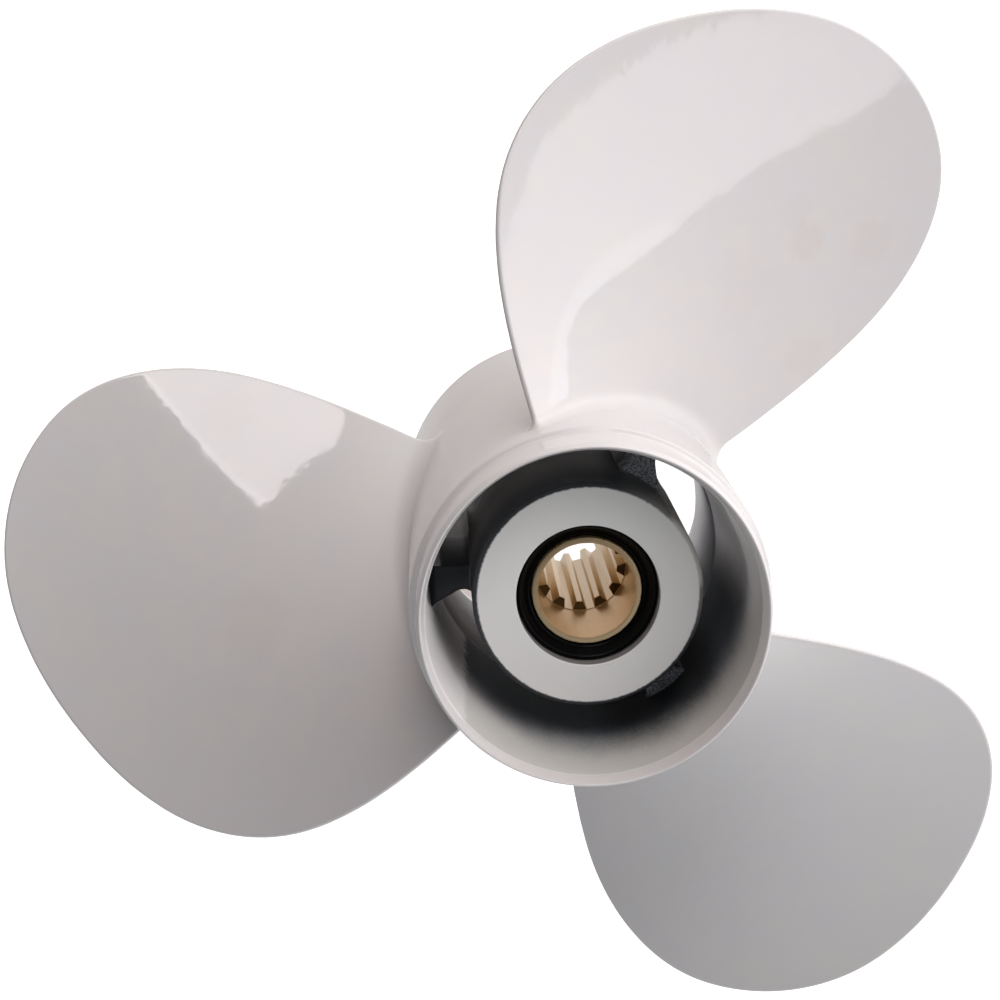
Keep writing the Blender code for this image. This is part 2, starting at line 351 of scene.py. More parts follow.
def add_box_sheet(name, box, before, glow, corners):
    """A glowing sheet in a plane that faces the propeller."""
    across, up = (math.radians(angle) for angle in BOX_PLANES[box])
    toward = Vector(
        (math.cos(up) * math.cos(across), math.cos(up) * math.sin(across), math.sin(up))
    )
    plane_x = Vector((0, 0, 1)).cross(toward).normalized()
    plane_y = toward.cross(plane_x)
    middle = AIM_POINT + (BOX_DISTANCE - before * MM) * toward
    points = [middle + MM * (x * plane_x + y * plane_y) for x, y in corners]
    brightest = max(glow)
    tint = tuple(part / brightest for part in glow)
    sheet = add_stage_sheet(name, points, Finish(name), tint, brightest)
    sheet.visible_camera = False


def add_sky():
    """Room light: the sum of a few soft lobes."""
    world = bpy.data.worlds.new("sky")
    world.use_nodes = True
    bpy.context.scene.world = world
    sky = Graph(world.node_tree)
    toward = sky.node("ShaderNodeTexCoord", output="Generated")
    total = (0.0, 0.0, 0.0)
    for axis, narrow, color in SKY_LOBES:
        facing = sky.vector("DOT_PRODUCT", toward, axis, output="Value").math("MAXIMUM", 0.0)
        lobe = facing.math("POWER", narrow)
        total = sky.vector("ADD", total, sky.vector("SCALE", color, scale=lobe))
    sky.plug(world.node_tree.nodes["Background"].inputs["Color"], total)


add_floor()
add_sky()
for number, facts in enumerate(SHEETS):
    add_box_sheet(f"box_sheet_{number}", *facts)
print(f"studio: {len(SHEETS)} box sheets, {len(SKY_LOBES)} lobes of sky")

# %% [markdown]
# ## Outlines and lathes
#
# Half of this object is turned: barrel, hub, bush and sleeve are closed outlines spun round the
# shaft. Real edges are never sharp, so each corner of an outline carries its own rounding, and a
# helper puts an arc there. Spinning is then plain arithmetic: one ring of points for each point
# of the outline. The same joining helper also serves the sleeve, whose rings aren't circles.

# %% Outline and lathe helpers
ARC_STEPS = 6

# An arc takes at most this share of the lines beside its corner. A corner that turns by less
# than the second number, in radians, stays as it is.
LONGEST_REACH = 0.48
STRAIGHT = 1e-3


def softened(corners):
    """Put an arc at each corner of a closed outline. A corner is (x, y, rounding)."""
    points = []
    count = len(corners)
    for index, (x, y, rounding) in enumerate(corners):
        here = np.array((x, y), float)
        before = np.array(corners[index - 1][:2], float) - here
        after = np.array(corners[(index + 1) % count][:2], float) - here
        reach_before, reach_after = np.linalg.norm(before), np.linalg.norm(after)
        before, after = before / reach_before, after / reach_after
        opening = math.acos(float(np.clip(before @ after, -1, 1)))
        if rounding <= 0 or math.pi - opening < STRAIGHT:
            points.append(here)
            continue
        longest = LONGEST_REACH * min(reach_before, reach_after)
        reach = min(rounding / math.tan(opening / 2), longest)
        radius = reach * math.tan(opening / 2)
        middle = (before + after) / np.linalg.norm(before + after)
        centre = here + middle * radius / math.sin(opening / 2)
        start = here + before * reach - centre
        end = here + after * reach - centre
        sweep = math.pi - opening
        for step in range(ARC_STEPS + 1):
            share = step / ARC_STEPS
            first = math.sin((1 - share) * sweep) / math.sin(sweep)
            second = math.sin(share * sweep) / math.sin(sweep)
            points.append(centre + first * start + second * end)
    return np.array(points)


def ring_faces(rings, ring_length, close_rings=True):
    """Four-sided faces between rings of points, each ring closed on itself."""
    faces = []
    last = rings if close_rings else rings - 1
    for ring in range(last):
        following = (ring + 1) % rings
        for index in range(ring_length):
            after = (index + 1) % ring_length
            faces.append(
                (
                    ring * ring_length + index,
                    ring * ring_length + after,
                    following * ring_length + after,
                    following * ring_length + index,
                )
            )
    return faces


def turned(outline, steps):
    """Spin a closed (radius, height) outline in mm in equal steps. Returns points and faces."""
    angles = np.linspace(0, math.tau, steps, endpoint=False)
    radius, height = outline[:, 0][:, None], outline[:, 1][:, None]
    points = np.stack(
        (radius * np.cos(angles), radius * np.sin(angles), height + 0 * angles), axis=-1
    )
    return points.reshape(-1, 3), ring_faces(len(outline), steps)


def make_piece(name, solids, sharp_degrees=None):
    """Join closed solids, each as points in mm and faces, into one smooth-shaded piece."""
    builder = bmesh.new()
    for points, faces in solids:
        corners = [builder.verts.new(point) for point in (points * MM).tolist()]
        for face in faces:
            builder.faces.new([corners[index] for index in face])
    bmesh.ops.recalc_face_normals(builder, faces=builder.faces)
    open_edges = sum(not edge.is_manifold for edge in builder.edges)
    mesh = bpy.data.meshes.new(name)
    builder.to_mesh(mesh)
    builder.free()
    mesh.shade_smooth()
    if sharp_degrees is not None:
        mesh.set_sharp_from_angle(angle=math.radians(sharp_degrees))
    piece = bpy.data.objects.new(name, mesh)
    bpy.context.scene.collection.objects.link(piece)
    print(f"{name}: {len(mesh.polygons)} faces, {open_edges} open edges")
    return piece


# %% [markdown]
# ## Barrel
#
# The barrel is the tube that the exhaust leaves through. Its fore end flares a little. Near its
# aft end a low shoulder steps down to a plain band, and the lip is cut to a cone on the inside.
# The inner wall narrows from both ends towards a seam, where the two sand cores met.

# %% Barrel outline
BARREL_LENGTH = 125.7
BODY_RADIUS = 41.7
WALL_SEAM_RADIUS = 36.1
SEAM_HEIGHT = 61.3
SEAM_GROOVE = 0.25
RECESS_RADIUS = 39.8
RECESS_DEPTH = 14.4
WALL_FORE_RADIUS = 37.2
LIP_FOOT_RADIUS = 38.05
BARREL_STEPS = 360

# Corners of the outline: radius, height and rounding. From the fore rim up, and back inside.
BARREL_OUTLINE = (
    (RECESS_RADIUS, 0.0, 0.3),
    (42.8, 0.0, 0.6),
    (BODY_RADIUS, 34.0, 60.0),
    (BODY_RADIUS, 114.5, 1.1),
    (40.6, 115.2, 1.1),
    (40.2, 124.1, 1.6),
    (39.5, BARREL_LENGTH, 0.5),
    (39.1, BARREL_LENGTH - 0.1, 0.5),
    (LIP_FOOT_RADIUS, 122.1, 0.5),
    (WALL_SEAM_RADIUS, SEAM_HEIGHT + SEAM_GROOVE, 0.0),
    (WALL_SEAM_RADIUS + SEAM_GROOVE, SEAM_HEIGHT, 0.0),
    (WALL_SEAM_RADIUS, SEAM_HEIGHT - SEAM_GROOVE, 0.0),
    (WALL_FORE_RADIUS, RECESS_DEPTH, 0.8),
    (RECESS_RADIUS, RECESS_DEPTH, 0.8),
)

barrel_outline = softened(BARREL_OUTLINE)
barrel = turned(barrel_outline, BARREL_STEPS)
print(f"barrel outline: {len(barrel_outline)} points")

# %% [markdown]
# ## Blades
#
# A blade is a helical sheet: its aft face climbs with the angle round the shaft, at a pitch of
# nearly 0.3 m a turn, and droops towards the tip. Its back is a shallow arc, and its rim is a
# full round. Slicing it across would leave the tip blunt, so here the mesh lines run outwards
# instead, from a spine in the middle of the blade to every point of its edge. The rows crowd
# together near the edge, where the rounding is, and near the root, where the fillet is.

# %% Blade measures
TIP_RADIUS = 144.5
PITCH_AT_ROOT = 293.0
PITCH_AT_TIP = 276.0
DATUM_ANGLE = math.radians(70.0)
DATUM_HEIGHT = 77.3
TIP_DROP = 15.2
DROP_POWER = 1.45
ROOT_THICKNESS = 10.0
TIP_THICKNESS = 2.8
RIM_ROUND = 0.7
LEADING_FILLET = 5.5
TRAILING_FILLET = 2.5
SPINE_ANGLE = math.radians(68.7)
SPINE_TOP = 100.0

# The edge of the first blade: radius in mm and angle in degrees, leading root to trailing root.
BLADE_EDGE = (
    (41.7, 29.0),
    (59.0, 31.0),
    (78.0, 33.0),
    (98.0, 35.6),
    (117.0, 39.7),
    (133.0, 45.8),
    (140.8, 52.1),
    (144.5, 61.2),
    (140.8, 70.8),
    (133.0, 80.2),
    (125.0, 88.1),
    (117.0, 94.0),
    (98.0, 102.2),
    (78.0, 106.1),
    (59.0, 107.7),
    (41.7, 108.1),
)


def smooth_curve(knots, values, at):
    """Read a smooth curve through the knots, with the slope at each taken from its neighbours."""
    slopes = np.gradient(values, knots)
    index = np.clip(np.searchsorted(knots, at) - 1, 0, len(knots) - 2)
    width = knots[index + 1] - knots[index]
    t = (at - knots[index]) / width
    return (
        (1 + 2 * t) * (1 - t) ** 2 * values[index]
        + t * (1 - t) ** 2 * width * slopes[index]
        + t * t * (3 - 2 * t) * values[index + 1]
        + t * t * (t - 1) * width * slopes[index + 1]
    )


edge_radii = np.array([radius for radius, _ in BLADE_EDGE])
edge_turns = np.radians([angle for _, angle in BLADE_EDGE])
tip_index = int(edge_radii.argmax())
edge_places = np.sqrt(1 - edge_radii / TIP_RADIUS)
edge_places[:tip_index] *= -1
ROOT_PLACE = float(edge_places[-1])


def span_share(radius):
    """0 at the blade's root, 1 at its tip."""
    return np.clip((radius - BODY_RADIUS) / (TIP_RADIUS - BODY_RADIUS), 0, 1)


def pitch(radius):
    return PITCH_AT_ROOT + span_share(radius) * (PITCH_AT_TIP - PITCH_AT_ROOT)


def face_height(radius, angle):
    """Height of the blade's aft face in mm."""
    droop = TIP_DROP * (1 - (1 - span_share(radius)) ** DROP_POWER)
    return DATUM_HEIGHT - droop + pitch(radius) * (angle - DATUM_ANGLE) / math.tau


def climb(radius):
    """Sine and cosine of the face's slope round the shaft."""
    slope = np.arctan2(pitch(radius), math.tau * radius)
    return np.sin(slope), np.cos(slope)


def edge_point(share):
    """Radius and angle of the edge, from -1 at the leading root over 0 at the tip to 1."""
    radius = TIP_RADIUS * (1 - (share * ROOT_PLACE) ** 2)
    angle = smooth_curve(edge_places, edge_turns, share * ROOT_PLACE)
    return radius, angle - RIM_ROUND * climb(radius)[0] / radius


print(f"blade: tip at {TIP_RADIUS} mm, pitch {PITCH_AT_ROOT} to {PITCH_AT_TIP} mm")

# %% [markdown]
# The mesh of one blade comes next. Every point starts on the aft face. The back is the same
# point pushed through the blade's thickness. Near the edge both sheets sink along a quarter
# circle and meet in the middle of the rim, and near the root both flare out in a fillet which
# dives under the barrel's skin, so blade and barrel meet without a crease.

# %% Blade mesh
# Heights in mm over the barrel's skin, and distances in mm from the edge, of the crowded rows.
FILLET_ROWS = (0.0, 0.1, 0.3, 0.6, 1.0, 1.5, 2.1, 2.8, 3.7, 4.8, 6.2, 8.0, 10.5, 13.5)
RIM_ROWS = (0.0, 0.03, 0.1, 0.2, 0.33, 0.5, 0.7, 1.0, 1.6, 2.6, 4.2)
SPAN_ROWS = 52
CHORD_ROWS = 20
CHORD_POWER = 0.9
DIVE_DEPTH = 0.12
DIVE_REACH = 1.0
ROOT_DEPTH = 1.2

# The edge is measured to as this many points, and it goes on under the skin by a share.
EDGE_SAMPLES = 2400
ROOT_EXCESS = 0.04
EXCESS_DEPTH = 200
POINTS_AT_ONCE = 500


def blade_lines():
    """Shares along the edge and depths under the barrel's skin, one for each mesh line."""
    span = TIP_RADIUS - BODY_RADIUS
    near_root = [math.sqrt(1 - height / span) for height in FILLET_ROWS]
    rest = np.linspace(near_root[-1], 0, SPAN_ROWS + 1)[1:]
    half = [(1.0, ROOT_DEPTH), (1.0, DIVE_DEPTH)] + [(share, 0.0) for share in near_root]
    half += [(share, 0.0) for share in rest]
    leading = [(-share, depth) for share, depth in half]
    return np.array(leading + half[-2::-1])


def line_shares(length):
    """Shares along one mesh line from the spine to the edge, crowded near the edge."""
    rim = 1 - np.array(RIM_ROWS) / length
    body = rim[-1] * np.sin(np.linspace(0, math.pi / 2, CHORD_ROWS + 1)) ** CHORD_POWER
    return np.concatenate((body[:-1], rim[::-1]))


def distance_to_edge(points):
    """Shortest distance in mm from points on the face to the blade's edge."""
    shares = np.linspace(-1 - ROOT_EXCESS, 1 + ROOT_EXCESS, EDGE_SAMPLES)
    edge = face_points(*edge_point(np.clip(shares, -1, 1)))
    radial = edge[:, :2] / np.linalg.norm(edge[:, :2], axis=1)[:, None]
    below = np.maximum(np.abs(shares) - 1, 0)[:, None]
    edge[:, :2] -= radial * below * EXCESS_DEPTH
    found = np.empty(len(points))
    for start in range(0, len(points), POINTS_AT_ONCE):
        block = points[start : start + POINTS_AT_ONCE]
        squares = ((block[:, None, :] - edge[None, :, :]) ** 2).sum(-1)
        found[start : start + POINTS_AT_ONCE] = np.sqrt(squares).min(1)
    return found


def face_points(radius, angle):
    """Points on the aft face."""
    return rolled(radius, angle, 0.0, 0.0)


def rolled(radius, angle, along, lift):
    """Points at a radius, moved along the arc and up or down from the face."""
    turn = angle + along / radius
    height = face_height(radius, angle) + lift
    return np.stack((radius * np.cos(turn), radius * np.sin(turn), height), axis=-1)


def blade_sheets():
    """Face and back of the first blade as two grids of points: mesh lines by rows."""
    lines = blade_lines()
    share, depth = lines[:, 0][:, None], lines[:, 1][:, None]
    rim_radius, rim_angle = edge_point(share)
    spine_radius = BODY_RADIUS + (SPINE_TOP - BODY_RADIUS) * (1 - share**2)
    rim = face_points(rim_radius, rim_angle)
    spine = face_points(spine_radius, SPINE_ANGLE + 0 * share)
    lengths = np.linalg.norm(rim - spine, axis=-1).ravel()
    rows = np.array([line_shares(length) for length in lengths])
    radius = spine_radius + rows * (rim_radius - spine_radius)
    angle = SPINE_ANGLE + rows * (rim_angle - SPINE_ANGLE)
    away = distance_to_edge(face_points(radius, angle).reshape(-1, 3)).reshape(radius.shape)
    away[:, -1] = 0.0
    middle = ROOT_THICKNESS + span_share(radius) * (TIP_THICKNESS - ROOT_THICKNESS)
    thick = 2 * RIM_ROUND + (middle - 2 * RIM_ROUND) * (1 - rows**2)
    inside = np.clip(RIM_ROUND - away, 0, RIM_ROUND)
    sunk = RIM_ROUND - np.sqrt(RIM_ROUND**2 - inside**2)
    outward = inside / RIM_ROUND
    upward = np.sqrt(1 - outward**2)
    chord_share = 0.5 + 0.5 * rows * np.sign(share)
    fillet = LEADING_FILLET + chord_share * (TRAILING_FILLET - LEADING_FILLET)
    low = np.clip(1 - (radius - BODY_RADIUS) / fillet, 0, 1)
    flare = fillet * (1 - np.sqrt(1 - low**2)) + DIVE_REACH * (depth > 0)
    radius = radius - depth
    rise, run = climb(radius)
    side = np.sign(share)
    sheets = []
    for lift, base in ((1.0, -sunk), (-1.0, -(thick - sunk))):
        normal_along, normal_lift = -rise, run
        along = base * normal_along + flare * (upward * lift * normal_along + outward * side * run)
        up = base * normal_lift + flare * (upward * lift * normal_lift + outward * side * rise)
        sheets.append(rolled(radius, angle, along, up))
    return sheets


def blade_solid():
    """The first blade as one closed solid: points and faces."""
    face, back = blade_sheets()
    lines, rows = face.shape[:2]
    middle = lines // 2
    index = np.arange(2 * lines * rows).reshape(2, lines, rows)
    index[:, middle + 1 :, 0] = index[:, :middle, 0][:, ::-1]
    index[1, :, -1] = index[0, :, -1]
    faces = []
    for sheet in index:
        for line in range(lines - 1):
            for row in range(rows - 1):
                faces.append(
                    (
                        sheet[line, row],
                        sheet[line + 1, row],
                        sheet[line + 1, row + 1],
                        sheet[line, row + 1],
                    )
                )
    for line in (0, lines - 1):
        for row in range(rows - 1):
            top, under = index[0, line], index[1, line]
            faces.append((top[row], top[row + 1], under[row + 1], under[row]))
    points = np.concatenate((face.reshape(-1, 3), back.reshape(-1, 3)))
    return tidy_solid(points, faces)


def tidy_solid(points, faces):
    """Drop unused points and doubled corners, so that shared edges are really shared."""
    clean = []
    for face in faces:
        corners = []
        for corner in face:
            if int(corner) not in corners:
                corners.append(int(corner))
        if len(corners) > 2:
            clean.append(corners)
    used = sorted({corner for face in clean for corner in face})
    place = {corner: number for number, corner in enumerate(used)}
    return points[used], [[place[corner] for corner in face] for face in clean]


def turned_copy(solid, degrees):
    """The same solid, turned round the shaft."""
    points, faces = solid
    c, s = math.cos(math.radians(degrees)), math.sin(math.radians(degrees))
    return points @ np.array(((c, s, 0.0), (-s, c, 0.0), (0.0, 0.0, 1.0))), faces


blade = blade_solid()
blades = [turned_copy(blade, degrees) for degrees in (0, 120, 240)]
casting = make_piece("casting", [barrel, *blades])

# %% [markdown]
# ## Inner casting
#
# Inside the barrel three ribs carry a thick hub. All of it was poured in sand, so it keeps a
# rough skin, and only the hub's aft face was cut flat. The ribs swell where they meet the hub
# and the barrel. Each rib is a stack of one plan outline, in which a width goes with a radius
# on each side of its middle line, because the real ones aren't quite even. One of them ends
# a few millimetres deeper than the others. Near the barrel a rib's end climbs in a fillet.

# %% Hub and ribs
HUB_RADIUS = 27.0
HUB_FORE_RADIUS = 26.7
HUB_BORE_RADIUS = 16.8
HUB_AFT = 106.6
HUB_FORE = 25.0
HUB_STEPS = 240

# Corners of the outline: radius, height and rounding.
HUB_OUTLINE = (
    (HUB_BORE_RADIUS, HUB_AFT, 0.3),
    (HUB_RADIUS, HUB_AFT, 1.5),
    (HUB_RADIUS, SEAM_HEIGHT + SEAM_GROOVE, 0.0),
    (HUB_FORE_RADIUS, SEAM_HEIGHT, 0.0),
    (HUB_FORE_RADIUS, HUB_FORE, 1.4),
    (20.5, HUB_FORE, 0.8),
    (HUB_BORE_RADIUS, 33.0, 1.0),
)

RIB_AFT = 88.5
DEEP_RIB_AFT = 82.8
RIB_FORE = 30.0
RIB_EDGE = 0.35
RIB_FILLET = 2.0
RIB_SAMPLES = 29
RIB_SINK = 0.6

# The wall as the ribs take it: heights, and about its radius at each.
WALL_HEIGHTS = (RECESS_DEPTH, SEAM_HEIGHT, 121.0)
WALL_RADII = (WALL_FORE_RADIUS, WALL_SEAM_RADIUS, 37.7)

# For each rib: its angle, its aft end, then (radius, width before the middle line, width after).
RIBS = (
    (
        62.6,
        RIB_AFT,
        (
            (26.3, 6.4, 4.6),
            (28.5, 4.8, 3.8),
            (30.2, 3.4, 3.9),
            (31.8, 2.2, 4.6),
            (33.4, 1.6, 5.6),
            (35.0, 2.0, 7.0),
            (36.4, 3.4, 9.0),
        ),
    ),
    (
        181.6,
        RIB_AFT,
        (
            (26.2, 3.9, 3.9),
            (27.6, 3.1, 3.0),
            (29.2, 3.0, 3.0),
            (31.0, 3.0, 4.0),
            (33.0, 3.0, 5.2),
            (34.8, 3.1, 6.4),
            (36.4, 4.0, 8.6),
        ),
    ),
    (
        304.7,
        DEEP_RIB_AFT,
        (
            (26.2, 3.9, 4.0),
            (27.6, 3.1, 3.1),
            (29.2, 3.0, 3.0),
            (31.0, 3.0, 3.8),
            (33.0, 3.2, 5.0),
            (34.8, 3.9, 6.2),
            (36.4, 5.2, 8.0),
        ),
    ),
)


def wall_radius(height):
    """Inner radius of the barrel at a height."""
    return float(np.interp(height, WALL_HEIGHTS, WALL_RADII))


def rib_plan(widths, reach, inset):
    """Closed plan outline of a rib: out along one flank, back along the other."""
    inner = widths[0][0]
    stretch = (reach - inner) / (widths[-1][0] - inner)
    place = [inner + (radius - inner) * stretch for radius, _, _ in widths]
    knots = np.array(place)
    fine = np.linspace(place[0], place[-1], RIB_SAMPLES)
    before = smooth_curve(knots, np.array([width for _, width, _ in widths]), fine) - inset
    after = smooth_curve(knots, np.array([width for _, _, width in widths]), fine) - inset
    out = [(radius, width) for radius, width in zip(fine, after)]
    home = [(radius, -width) for radius, width in zip(fine[::-1], before[::-1])]
    return np.array(out + home)


def rib_solid(degrees, aft, widths):
    """A rib as a stack of plans, its aft edge slightly rounded, sunk in hub and barrel."""
    heights = [(RIB_FORE, RIB_EDGE), (RIB_FORE + RIB_EDGE, 0.0), (SEAM_HEIGHT, 0.0)]
    heights += [(aft - RIB_EDGE, 0.0), (aft - 0.1, 0.5 * RIB_EDGE), (aft, RIB_EDGE)]
    rings = []
    for height, inset in heights:
        wall = wall_radius(height)
        plan = rib_plan(widths, wall + RIB_SINK, inset)
        near_wall = np.clip(1 - (wall - plan[:, 0]) / RIB_FILLET, 0, 1)
        lift = RIB_FILLET * (1 - np.sqrt(1 - near_wall**2)) * (height > SEAM_HEIGHT)
        rings.append(np.column_stack((plan, height + lift)))
    length = len(rings[0])
    points = np.concatenate(rings)
    faces = ring_faces(len(rings), length, close_rings=False)
    half = length // 2
    for base in (0, (len(rings) - 1) * length):
        for index in range(half - 1):
            faces.append(
                (
                    base + index,
                    base + index + 1,
                    base + length - 2 - index,
                    base + length - 1 - index,
                )
            )
    return turned_copy((points, faces), degrees)


hub = turned(softened(HUB_OUTLINE), HUB_STEPS)
ribs = [rib_solid(*rib) for rib in RIBS]
core = make_piece("core", [hub, *ribs], sharp_degrees=40)

# %% [markdown]
# ## Bush and sleeve
#
# A rubber bush sits between hub and sleeve, so that a blade which strikes something can slip
# instead of breaking. It has a raised lip at its aft end. The brass sleeve inside it has a
# plain counterbore and then thirteen teeth, which slide over the splines of the shaft. Its
# rings all have the same number of points, so one helper joins plain circles to toothed ones.

# %% Bush and sleeve
BUSH_RADIUS = 16.5
BUSH_BORE_RADIUS = 13.2
BUSH_FORE = 35.5
BUSH_STEPS = 180

# Corners of the outline: radius, height and rounding.
BUSH_OUTLINE = (
    (BUSH_BORE_RADIUS, BUSH_FORE, 0.5),
    (BUSH_RADIUS, BUSH_FORE, 0.5),
    (BUSH_RADIUS, 103.6, 0.6),
    (15.7, 103.7, 0.5),
    (13.9, 101.4, 0.6),
    (BUSH_BORE_RADIUS, 101.2, 0.3),
)

SLEEVE_RADIUS = 12.9
SLEEVE_AFT = 102.3
SLEEVE_FORE = 34.0
BORE_RADIUS = 11.45
BORE_FLOOR = 80.0
TOOTH_COUNT = 13
TOOTH_ROOT_RADIUS = 11.38
TOOTH_TIP_RADIUS = 9.2
TOOTH_ROOT_SHARE = 0.62
TOOTH_TIP_SHARE = 0.32
TOOTH_ROUND = 0.25
SPLINE_ANGLE = -5.3


def tooth_ring():
    """Plan of the thirteen teeth, each corner slightly rounded."""
    step = math.tau / TOOTH_COUNT
    corners = []
    for tooth in range(TOOTH_COUNT):
        for radius, share in (
            (TOOTH_ROOT_RADIUS, -0.5 * TOOTH_ROOT_SHARE),
            (TOOTH_TIP_RADIUS, -0.5 * TOOTH_TIP_SHARE),
            (TOOTH_TIP_RADIUS, 0.5 * TOOTH_TIP_SHARE),
            (TOOTH_ROOT_RADIUS, 0.5 * TOOTH_ROOT_SHARE),
        ):
            angle = (tooth + share) * step
            corners.append((radius * math.cos(angle), radius * math.sin(angle), TOOTH_ROUND))
    return softened(corners)


def sleeve_solid():
    """The sleeve as a closed stack of rings, from outside over the aft rim and down the bore."""
    teeth = tooth_ring()
    angles = np.arctan2(teeth[:, 1], teeth[:, 0])
    reach = np.linalg.norm(teeth, axis=1)
    rings = []
    circles = (
        (SLEEVE_RADIUS - 0.4, SLEEVE_FORE),
        (SLEEVE_RADIUS, SLEEVE_FORE + 0.4),
        (SLEEVE_RADIUS, SLEEVE_AFT - 0.35),
        (SLEEVE_RADIUS - 0.1, SLEEVE_AFT - 0.1),
        (SLEEVE_RADIUS - 0.35, SLEEVE_AFT),
        (BORE_RADIUS + 0.3, SLEEVE_AFT),
        (BORE_RADIUS, SLEEVE_AFT - 0.4),
        (BORE_RADIUS, BORE_FLOOR + 0.2),
        (BORE_RADIUS - 0.15, BORE_FLOOR),
    )
    for radius, height in circles:
        rings.append((np.full(len(teeth), radius), height))
    for backing, height in ((0.35, BORE_FLOOR), (0.0, BORE_FLOOR - 0.4), (0.0, SLEEVE_FORE + 0.4)):
        rings.append((np.minimum(reach + backing, BORE_RADIUS - 0.05), height))
    rings.append((np.minimum(reach + 0.3, BORE_RADIUS), SLEEVE_FORE))
    points = [
        np.column_stack((radius * np.cos(angles), radius * np.sin(angles), height + 0 * angles))
        for radius, height in rings
    ]
    solid = (np.concatenate(points), ring_faces(len(rings), len(teeth)))
    return turned_copy(solid, SPLINE_ANGLE)


bush = make_piece("bush", [turned(softened(BUSH_OUTLINE), BUSH_STEPS)])
sleeve = make_piece("sleeve", [sleeve_solid()], sharp_degrees=30)

# %% [markdown]
# ## White gloss paint
#
# The outside carries a warm white gloss paint. Sprayed paint isn't flat: it ripples every few
# millimetres, which frays the edge of each mirrored light. Inside the barrel the gun only
# reached the mouth, so the white fades over dark primer in a ragged cloud. Where the wall
# faces the right-hand gap, its white is partly painted light. One side of the wall took no
# primer, and below the seam the wall is pale bare metal, with painted shade on the left side,
# deepest towards the fore end.

# %% Paint on the casting
WARM_WHITE = (0.752, 0.700, 0.692)
COOL_WHITE = (0.736, 0.692, 0.703)
STAIN = (0.60, 0.49, 0.41)
WHITE_ROUGHNESS = 0.05
PRIMER_ROUGHNESS = 0.9
SPRAYED_ROUGHNESS = 0.3
PAINT_IOR = 1.6

# Lengths and heights in mm of the paint's two waves, and of the sand grain inside the barrel.
LONG_WAVE, LONG_WAVE_HEIGHT = 4.5, 0.022
SHORT_WAVE, SHORT_WAVE_HEIGHT = 1.8, 0.008
WALL_GRAIN, WALL_GRAIN_HEIGHT = 0.8, 0.05

# Colours and sides of the barrel's inner wall. A side is an angle in degrees.
OVERSPRAY = (0.72, 0.69, 0.66)
BARE_WALL = (0.90, 0.90, 0.92)
DUSTY_WALL = (0.93, 0.89, 0.88)
# The next colour and SHADED_WALL are painted shade on the wall below the seam.
DEEP_SHADE_WALL = (0.24, 0.23, 0.225)
SHADED_WALL = (0.05, 0.047, 0.047)
PRIMER = (0.140, 0.165, 0.200)
DARK_PRIMER = (0.027, 0.033, 0.042)
SEAM_LINE = (0.012, 0.011, 0.011)
# The next side faces the right-hand gap: wall and hub are whitened there, partly overspray and
# partly painted light.
LIT_SIDE = 25.0
DARK_SIDE = 305.0
CRACK_SIDE = 152.0
BARE_SIDE = 186.0

# For each stain: its place in mm, its size in mm and how strongly it shows.
STAINS = (
    ((57, 77, 54), 7, 0.14),
    ((53, 84, 55), 6, 0.08),
    ((75, 76, 46), 8, 0.12),
    ((41, 66, 61), 13, 0.06),
    ((59, 46, 45), 8, 0.09),
    ((-81, -17, 71), 12, 0.10),
    ((-88, 31, 44), 9, 0.08),
)


def outer_white(paint):
    """Two whites in soft clouds, with a few brownish stains where water has dried."""
    cloud = 0.6 * paint.noise(14.0) + 0.4 * paint.noise(5.0)
    color = paint.mix(cloud.rise(0.36, 0.64), WARM_WHITE, COOL_WHITE)
    for spot, size, strength in STAINS:
        color = paint.mix(paint.near(spot, size) * strength, color, STAIN)
    return color


def overspray(paint):
    """How much white lies on the inner wall, from 0 to 1, partly painted light on the side towards
    the right-hand gap.
    """
    long_grain = paint.vector("MULTIPLY", paint.place, (1.0, 1.0, 0.35))
    drift = paint.noise(9.0, place=long_grain) - 0.5
    speckle = paint.noise(0.7, detail=1.0) - 0.5
    reach = paint.z + 7 * drift + 5 * speckle - 15 * paint.facing(DARK_SIDE)
    # Partly painted light: the wall facing the right-hand gap takes nearly full white.
    light = paint.facing(LIT_SIDE).rise(0.78, 0.98)
    misted_and_lit = (0.8 + 0.3 * drift + 0.2 * speckle) * light
    return reach.rise(80.0, 104.0).math("MAXIMUM", misted_and_lit)


def inner_wall(paint, sprayed):
    """Primer under the overspray, a dusty sector without primer, and the wall below the seam."""
    ragged = paint.facing(BARE_SIDE) + (paint.noise(4.0, detail=3.0) - 0.5) * 0.08
    lower = paint.facing(DARK_SIDE).rise(0.85, 0.97)
    upper = paint.facing(CRACK_SIDE).rise(0.3, 0.8)
    color = paint.mix(lower.math("MAXIMUM", upper), PRIMER, DARK_PRIMER)
    color = paint.mix(sprayed, color, OVERSPRAY)
    color = paint.mix(ragged.rise(0.80, 0.84), color, DUSTY_WALL)
    return paint.mix(below_seam(paint), color, deep_color(paint))


def below_seam(finish):
    """1 below the seam of the sand cores, with a frayed edge."""
    frayed = finish.z + 1.5 * (finish.noise(3.0) - 0.5)
    return 1 - frayed.rise(SEAM_HEIGHT - 0.3, SEAM_HEIGHT + 0.7)


def deep_color(finish):
    """Pale bare metal below the seam, dusty on one side, where it is darkened towards the fore end
    and at the crack side as painted shade.
    """
    # Painted shade: darker towards the fore end, and darkest at the crack side.
    dust_and_shade = finish.mix(finish.z.rise(28.0, 50.0), DEEP_SHADE_WALL, DUSTY_WALL)
    dust_and_shade = finish.mix(finish.facing(CRACK_SIDE).rise(0.85, 0.97), dust_and_shade, SHADED_WALL)
    return finish.mix(finish.facing(BARE_SIDE).rise(0.2, 0.9), BARE_WALL, dust_and_shade)


